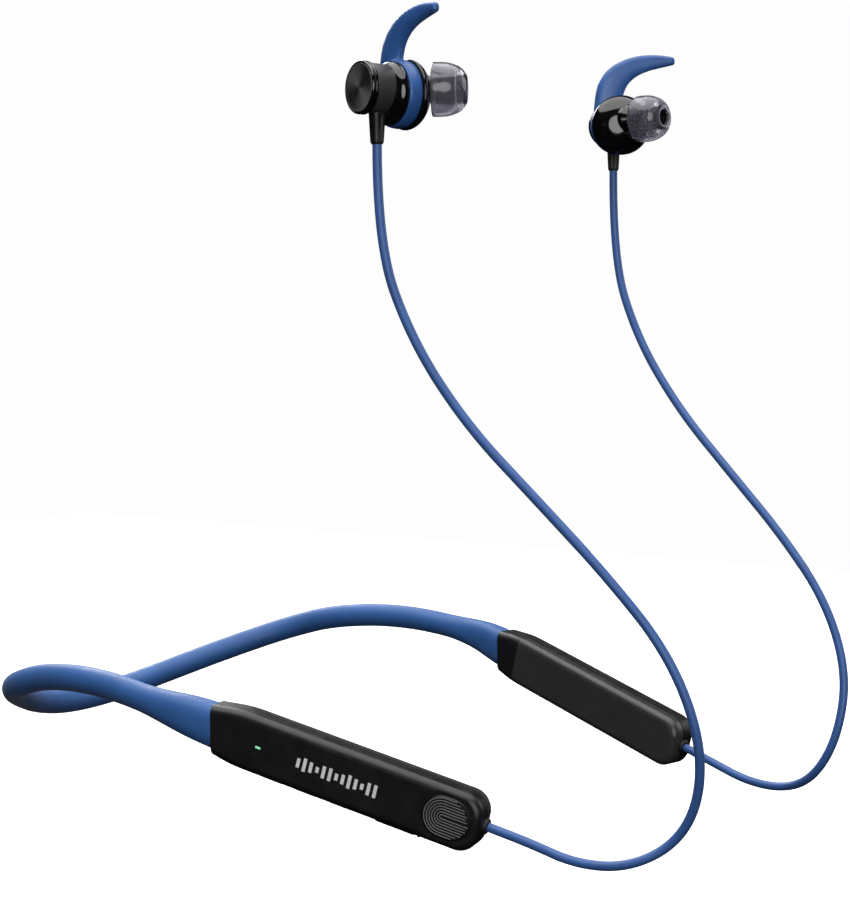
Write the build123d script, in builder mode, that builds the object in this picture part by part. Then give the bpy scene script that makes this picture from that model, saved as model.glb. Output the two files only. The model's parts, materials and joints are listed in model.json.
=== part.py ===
from build123d import *
from math import cos, radians, sin, tan
import os

# Neckband earphones, in millimetres.  X is the wearer's left, -Y is forward, +Z is up.
# The origin is on the inside of the band at its middle, where it rests on the nape.

os.makedirs("parts", exist_ok=True)

# ---- band ----
BAND_R = 3.6
WIRE_R = 0.6            # springy memory wire that keeps the band's shape
BUNDLE_R = 0.8          # jacketed leads from pod to pod
CORE_SPREAD = 1.1       # each of the two lies this far from the sleeve's centre
BORE_PLAY = 0.05
FLEX_GAP = 2.8          # between sleeve ends, room for the arm to flex
FLARE_LENGTH = 24       # the sleeve grows from round to the pod's end over this
FLARE_H, FLARE_W = 11.4, 8.6
CUT_AHEAD = 1.6         # the upright cut between sleeve and pod, past the last bend
FLARE_OVER = 4          # the flare is drawn on to here, then cut

# Centre line of the right-hand half, from beside the middle to the pod.
BAND_ROUTE = [
    (-9, 3.6, 0), (-25.5, -1.5, 3.5), (-40.2, -10.3, 8.6), (-52.7, -19.9, 13.4),
    (-61, -30, 17.6), (-64.8, -46, 22.3), (-69.2, -70, 24), (-71.9, -95.8, 20.6),
    (-68.8, -108.7, 17.1),
]
FLEX_RUN = 1            # the run of the route with the flex joint at its middle

# ---- pods ----
POD_START = Vector(-68.8, -108.7, 17.1)
POD_END = Vector(-52, -179.2, -1.9)
POD_LENGTH = (POD_END - POD_START).length
POD_H = 14.6
POD_T = 9.0
POD_NECK_H = 11.4       # height where the band enters
POD_NECK_LENGTH = 12
END_R = 5.2
EDGE_R = 2.1
SHOULDER_R = 40
WALL = 1.4
SEAM = -0.5             # depth of the seam between the shells, outward positive
COLLAR = 9.5            # the outer shell wraps all the way round up to here
CORE_HOLE_R = 2.1
CORE_REACH = 8          # how far the wire and the leads go on inside the pod
NECK_WALL = 4.2
CLAMP_R = 2.8
GROOVE = 0.3

PAD_U = 66.4            # oblong function pad, along the pod
PAD_L, PAD_H = 12.4, 10.2
PAD_FLANGE = 0.5
PAD_RECESS_L, PAD_RECESS_H = 15.2, 13.0
PAD_RECESS = 0.15
FIT = 0.15              # clearance round every button
LED_U = 15.2
LED_L, LED_H = 1.5, 0.6
KEY_U = {"volume_down_key": 20, "power_key": 29.5, "volume_up_key": 39}
KEY_L, KEY_W = 7.5, 2.7
KEY_DEPTH = 1.3         # where the edge keys and the port sit between the faces
KEY_PROUD = 0.2
LIP = 0.3
PORT_U = 54
PORT_L, PORT_W, PORT_DEPTH = 8.9, 3.1, 7.2
PORT_WALL = 0.3
COVER_L, COVER_W, COVER_T = 11.6, 3.4, 0.7
COVER_GAP = 0.05
COVER_SINK = 0.6        # the cover lies in a pocket, so it hardly stands out
KNUCKLE_R = 0.5
KNUCKLE_U = PORT_U + COVER_L / 2 + KNUCKLE_R
TETHER_U = KNUCKLE_U + KNUCKLE_R + 0.3
TETHER_L, TETHER_W = 3.0, 2.6
MIC_U = 68.5
MIC_HOLE_R = 0.5

BOARD_T = 0.8
BOARD_TOP = -0.25
BOARD_TOP_LEFT = 0.45
SCREWS_RIGHT = [(14.5, 2.5), (62, 3.2)]
SCREWS_LEFT = [(59.7, 0), (70.6, 0)]
BOSS_R = 1.4
SCREW_R, SCREW_HEAD_R = 0.6, 1.2
BATTERY = (42, 10.4, 4.8)
MOTOR_R = 4.0

# ---- cords ----
CORD_R = 1.15
GROMMET_R = 2.0
GROMMET_PROUD = 1.0
GROMMET_LIP, GROMMET_LIP_T = 0.6, 0.3     # thin, so it stays clear of the pad
CORD_EXIT_RUN = 10       # the first run goes straight on from the grommet
CORD_ROUTE = [
    (-48, -201.7, -8.4), (-45.5, -214.2, -7.9), (-40.5, -224.2, -1.9), (-40.5, -230.2, 9.6),
    (-43.5, -231.2, 25.6), (-46, -224.2, 43.6), (-49, -210.2, 60.1), (-51.5, -193.2, 76.6),
    (-54.5, -175.7, 93.6), (-56.5, -161.2, 113.6), (-58, -152.2, 136.6),
]
CORD_END = {"right": (-58, -152.2, 160.2), "left": (-58, -152.2, 161.7)}

# ---- earbuds, measured along the housing from the outer cap towards the ear ----
BUD_YAW = {"right": -21.0, "left": 223.0}    # direction the housing faces, from +X
NOZZLE_TURN = 40        # the nozzle turns this much further forward
RELIEF_AT = 5.2
AXIS_RISE = 13.1        # from the cord's end up to the barrel's axis
CAP_R, CAP_T = 6.3, 2.0
BARREL_R, BARREL_BORE = 6.0, 4.6
BARREL_END = 6.2
CHAMBER_R, CHAMBER_DROP = 7.6, 0.9
FRONT_R = 8.0
CHAMBER_START, SEAT_END = 9.4, 13.3
SEAT_R, CHAMBER_BORE = 7.0, 6.0
DOME_H = 4.6
NOZZLE_R, NOZZLE_BORE, NOZZLE_L = 2.6, 1.9, 13.6
TIP_PLAY = 0.05
STEM_R = 1.4
NOZZLE_RISE = 1.2       # above the chamber's centre
TIP_R, TIP_START, TIP_END = 6.5, 6.5, 15.0
RING_R = 8.2
FIN_T = 2.8
# The fin's outline, seen along the housing: forward, up.
FIN_OUTER = [(-6.6, 3.2), (-6.2, 7.2), (-5, 11), (-2.6, 14.4), (2, 17.1), (7, 18.5), (12, 18.8),
             (15.6, 18.4)]
FIN_TIP = (16.4, 17.6)
FIN_INNER = [(15.6, 16.8), (12, 16), (8, 15.1), (4.8, 13.7), (2.4, 11.6), (1.2, 9), (0.7, 6.8)]


def save(builder, name):
    builder.part.label = name
    export_step(builder.part, f"parts/{name}.step")


def side_sign(side):
    return 1 if side == "right" else -1


def to_side(point, side):
    """A right-hand point, or its mirror image on the left."""
    x, y, z = point
    return Vector(x * side_sign(side), y, z)


def fillet_radii(points):
    """The largest gentle radius that each inner corner's two runs allow."""
    radii = []
    for before, corner, after in zip(points, points[1:], points[2:]):
        run_in = corner - before
        run_out = after - corner
        half_turn = radians(run_in.get_angle(run_out)) / 2
        radii.append(0.45 * min(run_in.length, run_out.length) / tan(half_turn))
    return radii


# ---- frames: each has its x along the piece, its z outwards or towards the ear ----

def pod_plane(side):
    """x runs along the pod to its front end, z is out of its outer face, origin at the neck."""
    start = to_side(POD_START, side)
    along = (to_side(POD_END, side) - start).normalized()
    outward = along.cross(Vector(0, 0, 1)).normalized() * side_sign(side)
    return Plane(origin=start, x_dir=along, z_dir=outward)


def pod_edge_plane(side, depth):
    """x along the pod, z down out of its lower edge, origin on the edge at the given depth."""
    plane = pod_plane(side)
    down = plane.y_dir * -1 if plane.y_dir.Z > 0 else plane.y_dir
    origin = plane.origin + down * (POD_H / 2) + plane.z_dir * depth
    return Plane(origin=origin, x_dir=plane.x_dir, z_dir=down)


def bud_axis(side):
    yaw = radians(BUD_YAW[side])
    return Vector(cos(yaw), sin(yaw), 0)


def bud_plane(side):
    """z runs along the housing towards the ear, y is up, origin at the middle of the cap."""
    axis = bud_axis(side)
    cord_end = to_side(CORD_END[side], side)
    origin = cord_end + Vector(0, 0, AXIS_RISE) - axis * RELIEF_AT
    return Plane(origin=origin, x_dir=Vector(0, 0, 1).cross(axis), z_dir=axis)


def nozzle_plane(side):
    """z runs along the nozzle, origin on the chamber's centre line at the dome's base."""
    base = bud_plane(side)
    turn = radians(BUD_YAW[side] - side_sign(side) * NOZZLE_TURN)
    direction = Vector(cos(turn), sin(turn), 0)
    origin = base.origin + base.z_dir * SEAT_END + Vector(0, 0, NOZZLE_RISE - CHAMBER_DROP)
    return Plane(origin=origin, x_dir=Vector(0, 0, 1).cross(direction), z_dir=direction)


def profile_plane(plane):
    """The half plane to revolve in: x along the frame's z, y up."""
    return Plane(origin=plane.origin, x_dir=plane.z_dir, z_dir=plane.z_dir.cross(Vector(0, 0, 1)))


# ---- band ----

def band_points(side):
    return [to_side(point, side) for point in BAND_ROUTE]


def flex_point(side):
    points = band_points(side)
    return (points[FLEX_RUN] + points[FLEX_RUN + 1]) * 0.5


def arm_path_points(side):
    """From just past the flex joint to the pod."""
    points = band_points(side)
    run = (points[FLEX_RUN + 1] - points[FLEX_RUN]).normalized()
    start = flex_point(side) + run * (FLEX_GAP / 2)
    return [start] + points[FLEX_RUN + 1:]


def centre_path_points():
    """Across the nape, from one flex joint to the other."""
    ends = []
    for side in ("right", "left"):
        points = band_points(side)
        run = (points[FLEX_RUN] - points[FLEX_RUN + 1]).normalized()
        ends.append([flex_point(side) + run * (FLEX_GAP / 2)] + points[FLEX_RUN::-1])
    return ends[0] + ends[1][::-1]


def path_plane(points):
    """Square to the route's start, with y as near upright as it goes."""
    along = (points[1] - points[0]).normalized()
    across = Vector(0, 0, 1).cross(along).normalized()
    return Plane(origin=points[0], x_dir=across, z_dir=along)


def route_wire(points):
    with BuildLine() as route:
        FilletPolyline(*points, radius=fillet_radii(points))
    return route.wires()[0]


def round_section(points, rise, radius):
    with BuildSketch(path_plane(points)) as section:
        with Locations((0, rise)):
            Circle(radius)
    return section.sketch


def sweep_cores(points, mode):
    """Bores for the memory wire above the sleeve's centre and the lead bundle below it."""
    path = route_wire(points)
    sweep(round_section(points, CORE_SPREAD, WIRE_R + BORE_PLAY), path=path, mode=mode)
    sweep(round_section(points, -CORE_SPREAD, BUNDLE_R + BORE_PLAY), path=path, mode=mode)


def make_cores(part_of_band, points):
    for name, radius, rise in (
        ("memory_wire", WIRE_R, CORE_SPREAD), ("lead_bundle", BUNDLE_R, -CORE_SPREAD),
    ):
        with BuildPart() as core:
            sweep(round_section(points, rise, radius), path=route_wire(points))
        save(core, f"{name}_{part_of_band}")


def make_centre():
    points = centre_path_points()
    with BuildPart() as sleeve:
        sweep(round_section(points, 0, BAND_R), path=route_wire(points))
        sweep_cores(points, Mode.SUBTRACT)
    save(sleeve, "band_sleeve_centre")
    make_cores("centre", points)


def junction_plane(side):
    """The upright cut between sleeve and pod, facing the pod."""
    along = pod_plane(side).x_dir
    origin = to_side(POD_START, side) + along * CUT_AHEAD
    return Plane(origin=origin, z_dir=Vector(along.X, along.Y, 0).normalized())


def square_plane(origin, along):
    """Square to a direction, with x level."""
    return Plane(origin=origin, x_dir=along.cross(Vector(0, 0, 1)).normalized(), z_dir=along)


def make_arm_band(side):
    """The sleeve of one arm: a round tube, then a flare that meets the pod's neck."""
    points = arm_path_points(side)
    along = pod_plane(side).x_dir
    bend = points[-2]
    run = (bend - points[-3]).normalized()
    flare_start = bend - run * (FLARE_LENGTH - (points[-1] - bend).length)
    core_points = points[:-1] + [points[-1] + along * CORE_REACH]
    with BuildPart() as sleeve:
        sweep(round_section(points, 0, BAND_R), path=route_wire(points))
        with BuildSketch(square_plane(flare_start, run)):
            Ellipse(BAND_R + 0.01, BAND_R + 0.02)
        with BuildSketch(square_plane(points[-1] - along * FLARE_LENGTH * 0.33, along)):
            Ellipse(FLARE_W * 0.47, FLARE_H * 0.39)
        with BuildSketch(square_plane(points[-1] + along * FLARE_OVER, along)):
            Ellipse(FLARE_W * 0.5, FLARE_H * 0.5)
        loft()
        split(bisect_by=junction_plane(side), keep=Keep.BOTTOM)
        sweep_cores(core_points, Mode.SUBTRACT)
    save(sleeve, f"band_sleeve_{side}")
    make_cores(side, core_points)


# ---- pods ----

def pod_outline(plane, inset):
    """Seen from the side: narrow at the neck, full height from the shoulder on, round at the end."""
    half = POD_H / 2 - inset
    neck = POD_NECK_H / 2 - inset - 0.6
    back = -POD_NECK_LENGTH / 3
    end = POD_LENGTH - inset
    end_r = END_R - inset
    shoulder = POD_NECK_LENGTH * 0.7
    with BuildSketch(plane) as outline:
        with BuildLine():
            edge = FilletPolyline((shoulder + 20, half), (shoulder, half), (back, neck),
                                  (back, -neck), (shoulder, -half), (end, -half), (end, half),
                                  (shoulder + 30, half),
                                  radius=[SHOULDER_R, 0.5, 0.5, SHOULDER_R, end_r, end_r])
            Line(edge @ 1, edge @ 0)
        make_face()
    return outline.sketch


def strip(plane, start, end):
    """A tall rectangle across the pod, to cut with."""
    with BuildSketch(plane) as area:
        with Locations(((start + end) / 2, 0)):
            Rectangle(end - start, 2 * POD_H)
    return area.sketch


def make_pod_form(side):
    """The closed outer form of a pod, rounded along both faces."""
    plane = pod_plane(side)
    with BuildPart() as form:
        extrude(pod_outline(plane.offset(-POD_T / 2), 0), amount=POD_T)
        fillet(form.faces().filter_by(Axis(plane.origin, plane.z_dir)).edges(), EDGE_R)
        split(bisect_by=junction_plane(side), keep=Keep.TOP)
    return form.part


def make_pod_room(side):
    """What both shells leave open: the hollow, the groove on their seam and the end holes."""
    plane = pod_plane(side)
    square = Plane(origin=plane.origin, x_dir=plane.y_dir, z_dir=plane.x_dir)
    depth = POD_T / 2 - WALL
    with BuildPart() as groove:
        extrude(strip(plane.offset(SEAM - GROOVE / 2), COLLAR, POD_LENGTH + 9), amount=GROOVE)
        with BuildSketch(plane.offset(SEAM - GROOVE)):
            with Locations((COLLAR + (POD_LENGTH - GROOVE - COLLAR) / 2 - 10, 0)):
                RectangleRounded(POD_LENGTH - GROOVE - COLLAR + 20, POD_H - 2 * GROOVE, END_R)
        extrude(amount=2 * GROOVE, mode=Mode.SUBTRACT)
    with BuildPart() as room:
        extrude(pod_outline(plane.offset(-depth), WALL), amount=2 * depth)
        extrude(strip(plane.offset(-depth), -20, NECK_WALL), amount=2 * depth, mode=Mode.SUBTRACT)
        add(groove.part)
        with BuildSketch(square.offset(-POD_NECK_LENGTH)):
            Circle(CORE_HOLE_R)
        extrude(amount=POD_NECK_LENGTH + NECK_WALL + 0.1)
        with BuildSketch(square.offset(POD_LENGTH - WALL - 0.1)):
            Circle(GROMMET_R)
        extrude(amount=WALL + 1)
    return room.part


def make_outer_shell(side, form, room):
    plane = pod_plane(side)
    with BuildPart() as shell:
        add(form)
        extrude(strip(plane.offset(-POD_T), COLLAR, 2 * POD_LENGTH), amount=POD_T + SEAM,
                mode=Mode.SUBTRACT)
        add(room, mode=Mode.SUBTRACT)
        if side == "right":
            add(make_control_holes(), mode=Mode.SUBTRACT)
    save(shell, f"pod_outer_shell_{side}")


def make_control_holes():
    """Openings for the function pad, status light, edge keys, port and microphone."""
    plane = pod_plane("right")
    edge = pod_edge_plane("right", KEY_DEPTH)
    with BuildPart() as holes:
        with BuildSketch(plane.offset(POD_T / 2 - PAD_RECESS)):
            with Locations((PAD_U, 0)):
                SlotOverall(PAD_RECESS_L, PAD_RECESS_H)
        extrude(amount=1)
        with BuildSketch(plane.offset(POD_T / 2 - WALL - 0.1)):
            with Locations((PAD_U, 0)):
                SlotOverall(PAD_L + 2 * FIT, PAD_H + 2 * FIT)
            with Locations((LED_U, 0)):
                SlotOverall(LED_L, LED_H)
        extrude(amount=WALL + 1)
        with BuildSketch(edge.offset(-WALL - 0.1)):
            with Locations(*[(u, 0) for u in KEY_U.values()]):
                SlotOverall(KEY_L + 2 * FIT, KEY_W + 2 * FIT)
            with Locations((PORT_U, 0)):
                SlotOverall(PORT_L + 2 * FIT, PORT_W + 2 * FIT)
            with Locations((MIC_U, 0)):
                Circle(MIC_HOLE_R)
        extrude(amount=WALL + 1)
        with BuildSketch(edge.offset(-COVER_SINK)):
            with Locations((PORT_U, 0)):
                RectangleRounded(COVER_L + 2 * FIT, COVER_W + 2 * FIT, 1.4)
            with Locations(((PORT_U + TETHER_U + TETHER_L + FIT) / 2, 0)):
                Rectangle(TETHER_U + TETHER_L + FIT - PORT_U, TETHER_W + 2 * FIT)
        extrude(amount=COVER_SINK + 1)
    return holes.part


def make_inner_shell(side, form, room, bosses, boss_top):
    plane = pod_plane(side)
    floor = -POD_T / 2 + WALL
    with BuildPart() as shell:
        add(form)
        extrude(strip(plane.offset(SEAM), -POD_LENGTH, 2 * POD_LENGTH), amount=POD_T,
                mode=Mode.SUBTRACT)
        extrude(strip(plane.offset(-POD_T), -POD_LENGTH, COLLAR), amount=2 * POD_T,
                mode=Mode.SUBTRACT)
        add(room, mode=Mode.SUBTRACT)
        with BuildSketch(plane.offset(floor)):
            with Locations(*bosses):
                Circle(BOSS_R)
                Circle(SCREW_R, mode=Mode.SUBTRACT)
        extrude(amount=boss_top - floor)
    save(shell, f"pod_inner_shell_{side}")


def make_board(side, name, start, end, height, top, holes):
    plane = pod_plane(side)
    with BuildPart() as board:
        with BuildSketch(plane.offset(top - BOARD_T)):
            with Locations(((start + end) / 2, 0)):
                RectangleRounded(end - start, height, 1)
            with Locations(*holes):
                Circle(SCREW_R, mode=Mode.SUBTRACT)
        extrude(amount=BOARD_T)
    save(board, name)


def make_screws(side, name, places, top):
    """Small pan-head screws through the board into the shell's bosses."""
    plane = pod_plane(side)
    floor = -POD_T / 2 + WALL
    with BuildPart() as screws:
        with BuildSketch(plane.offset(floor + 0.2)):
            with Locations(*places):
                Circle(SCREW_R)
        extrude(amount=top - floor - 0.2)
        with BuildSketch(plane.offset(top)):
            with Locations(*places):
                Circle(SCREW_HEAD_R)
        extrude(amount=0.5)
        with BuildSketch(plane.offset(top + 0.25)):
            with Locations(*places):
                Rectangle(1.6, 0.25)
                Rectangle(0.25, 1.6)
        extrude(amount=0.3, mode=Mode.SUBTRACT)
    save(screws, name)


def box_on(plane, height, place, size):
    """A box on a board: length, breadth and height."""
    with BuildSketch(plane.offset(height)) as base:
        with Locations(place):
            Rectangle(size[0], size[1])
    extrude(base.sketch, amount=size[2])


def make_core_clamp(side):
    """A plug inside the neck that grips the memory wire and the lead bundle."""
    plane = pod_plane(side)
    square = Plane(origin=plane.origin, x_dir=plane.y_dir, z_dir=plane.x_dir)
    points = arm_path_points(side)
    points[-1] = points[-1] + plane.x_dir * CORE_REACH
    with BuildPart() as clamp:
        with BuildSketch(square.offset(NECK_WALL + 0.05)):
            Circle(CLAMP_R)
        extrude(amount=CORE_REACH - NECK_WALL - 0.4)
        sweep_cores(points, Mode.SUBTRACT)
    save(clamp, f"core_clamp_{side}")


def make_right_electronics():
    plane = pod_plane("right")
    edge = pod_edge_plane("right", KEY_DEPTH)
    face = POD_T / 2
    make_board("right", "circuit_board", 11, 70.5, 9.6, BOARD_TOP, SCREWS_RIGHT)
    make_screws("right", "screws_right", SCREWS_RIGHT, BOARD_TOP)
    with BuildPart() as chips:
        box_on(plane, BOARD_TOP, (31, 1.6), (6, 6, 0.9))
        box_on(plane, BOARD_TOP, (41, 2.0), (4, 3, 0.8))
        box_on(plane, BOARD_TOP, (22, 2.4), (2.5, 2, 1.0))
    save(chips, "board_chips")
    with BuildPart() as switches:
        for u in KEY_U.values():
            box_on(plane, BOARD_TOP, (u, -POD_H / 2 + 3.25), (3.4, 1.5, 2.3))
        box_on(plane, BOARD_TOP, (PAD_U, 0), (3.2, 3.2, 1.3))
    save(switches, "tactile_switches")
    with BuildPart() as led:
        box_on(plane, BOARD_TOP, (LED_U, 0), (1.6, 0.8, 0.6))
    save(led, "status_led")
    with BuildPart() as pipe:
        with BuildSketch(plane.offset(face - 3.2)):
            with Locations((LED_U, 0)):
                SlotOverall(LED_L, LED_H)
        extrude(amount=3.2)
    save(pipe, "light_pipe")
    with BuildPart() as microphone:
        box_on(plane, BOARD_TOP, (MIC_U, -POD_H / 2 + 3.4), (2.4, 1.7, 1.0))
    save(microphone, "microphone")
    with BuildPart() as socket:
        with BuildSketch(edge.offset(-PORT_DEPTH)):
            with Locations((PORT_U, 0)):
                SlotOverall(PORT_L, PORT_W)
        extrude(amount=PORT_DEPTH - COVER_SINK - 0.15)
        with BuildSketch(edge.offset(-PORT_DEPTH + 0.8)):
            with Locations((PORT_U, 0)):
                SlotOverall(PORT_L - 2 * PORT_WALL, PORT_W - 2 * PORT_WALL)
                Rectangle(6.6, 0.7, mode=Mode.SUBTRACT)
        extrude(amount=PORT_DEPTH, mode=Mode.SUBTRACT)
        with BuildSketch(edge.offset(-2.4)):
            with Locations((PORT_U, 0)):
                Rectangle(7, 1)
        extrude(amount=3, mode=Mode.SUBTRACT)
    save(socket, "charging_socket")


def make_controls():
    """The function pad on the face and the three keys along the lower edge."""
    plane = pod_plane("right")
    edge = pod_edge_plane("right", KEY_DEPTH)
    face = POD_T / 2
    with BuildPart() as pad:
        with BuildSketch(plane.offset(face - WALL - 0.8)):
            with Locations((PAD_U, 0)):
                SlotOverall(PAD_L + 2 * PAD_FLANGE, PAD_H + 2 * PAD_FLANGE)
        extrude(amount=0.7)
        with BuildSketch(plane.offset(face - WALL - 0.1)):
            with Locations((PAD_U, 0)):
                SlotOverall(PAD_L, PAD_H)
        extrude(amount=WALL + 0.1)
        chamfer(pad.faces().sort_by(Axis(plane.origin, plane.z_dir))[-1].edges(), 0.2)
        with BuildSketch(plane.offset(BOARD_TOP + 1.3 + 0.4)):
            with Locations((PAD_U, 0)):
                Circle(1.2)
        extrude(amount=1)
    save(pad, "function_pad")
    for name, u in KEY_U.items():
        with BuildPart() as key:
            with BuildSketch(edge.offset(-WALL - 0.7)):
                with Locations((u, 0)):
                    SlotOverall(KEY_L + 2 * (LIP + FIT), KEY_W + LIP)
            extrude(amount=0.6)
            with BuildSketch(edge.offset(-WALL - 0.1)):
                with Locations((u, 0)):
                    SlotOverall(KEY_L, KEY_W)
            extrude(amount=WALL + 0.1 + KEY_PROUD)
            fillet(key.faces().sort_by(Axis(edge.origin, edge.z_dir))[-1].edges(), 0.3)
        save(key, name)


def make_port_cover():
    """A soft flap over the charging socket, with its knuckle and the fixed end of its tether."""
    floor = pod_edge_plane("right", KEY_DEPTH).offset(-COVER_SINK)
    side_plane = Plane(origin=floor.origin, x_dir=floor.x_dir, z_dir=floor.y_dir)
    up = 1 if side_plane.y_dir.dot(floor.z_dir) > 0 else -1
    with BuildPart() as cover:
        with BuildSketch(floor.offset(COVER_GAP)):
            with Locations((PORT_U, 0)):
                RectangleRounded(COVER_L, COVER_W, 1.4)
            with Locations((KNUCKLE_U - 1.2, 0)):
                Rectangle(2.4, 2.2)
        extrude(amount=COVER_T)
        with BuildSketch(floor.offset(-1.4)):
            with Locations((PORT_U, 0)):
                SlotOverall(7.0, 1.8)
        extrude(amount=1.4 + COVER_GAP)
        with BuildSketch(side_plane.offset(-1.1)):
            with Locations((KNUCKLE_U, up * (COVER_GAP + KNUCKLE_R))):
                Circle(KNUCKLE_R)
        extrude(amount=2.2)
    save(cover, "port_cover")
    with BuildPart() as tether:
        with BuildSketch(floor):
            with Locations((TETHER_U + TETHER_L / 2, 0)):
                RectangleRounded(TETHER_L, TETHER_W, 0.8)
        extrude(amount=COVER_T)
    save(tether, "cover_tether")


def make_left_electronics():
    plane = pod_plane("left")
    with BuildPart() as battery:
        with BuildSketch(plane.offset(-BATTERY[2] / 2)):
            with Locations((14 + BATTERY[0] / 2, 0)):
                RectangleRounded(BATTERY[0], BATTERY[1], 1.5)
        extrude(amount=BATTERY[2])
        fillet(battery.faces().filter_by(Axis(plane.origin, plane.z_dir)).edges(), 0.6)
    save(battery, "battery")
    make_board("left", "battery_board", 57.5, 71.9, 8.4, BOARD_TOP_LEFT, SCREWS_LEFT)
    make_screws("left", "screws_left", SCREWS_LEFT, BOARD_TOP_LEFT)
    floor = -POD_T / 2 + WALL
    with BuildPart() as motor:
        with BuildSketch(plane.offset(floor)):
            with Locations(((SCREWS_LEFT[0][0] + SCREWS_LEFT[1][0]) / 2, 0)):
                Circle(MOTOR_R)
        extrude(amount=BOARD_TOP_LEFT - BOARD_T - floor - 0.1)
    save(motor, "vibration_motor")


def make_cord(side):
    """The grommet in the pod's end and the lead that hangs from it to the earbud."""
    plane = pod_plane(side)
    along = plane.x_dir
    square = Plane(origin=plane.origin, x_dir=plane.y_dir, z_dir=along)
    with BuildPart() as grommet:
        with BuildSketch(square.offset(POD_LENGTH - WALL - GROMMET_LIP_T - 0.05)):
            Circle(GROMMET_R + GROMMET_LIP)
        extrude(amount=GROMMET_LIP_T)
        with BuildSketch(square.offset(POD_LENGTH - WALL - 0.1)):
            Circle(GROMMET_R - 0.02)
        extrude(amount=WALL + 0.1 + GROMMET_PROUD)
        tip = grommet.faces().sort_by(Axis(plane.origin, along))[-1]
        fillet(tip.edges(), 0.5)
    save(grommet, f"cord_grommet_{side}")
    points = cord_points(side)
    print("cord radii", side, [round(radius, 1) for radius in fillet_radii(points)])
    path = route_wire(points)
    with BuildPart() as cord:
        sweep(round_section(points, 0, CORD_R), path=path)
    length = path.length
    ratio = cord.part.volume / (3.14159 * CORD_R**2 * length)
    print("cord", side, "length", round(length, 1), "volume over section times length", round(ratio, 3))
    save(cord, f"earphone_cord_{side}")


def cord_points(side):
    plane = pod_plane(side)
    first = plane.origin + plane.x_dir * (POD_LENGTH + GROMMET_PROUD)
    second = first + plane.x_dir * CORD_EXIT_RUN
    return [first, second] + [to_side(point, side) for point in [*CORD_ROUTE, CORD_END[side]]]


# ---- earbuds ----

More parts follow.
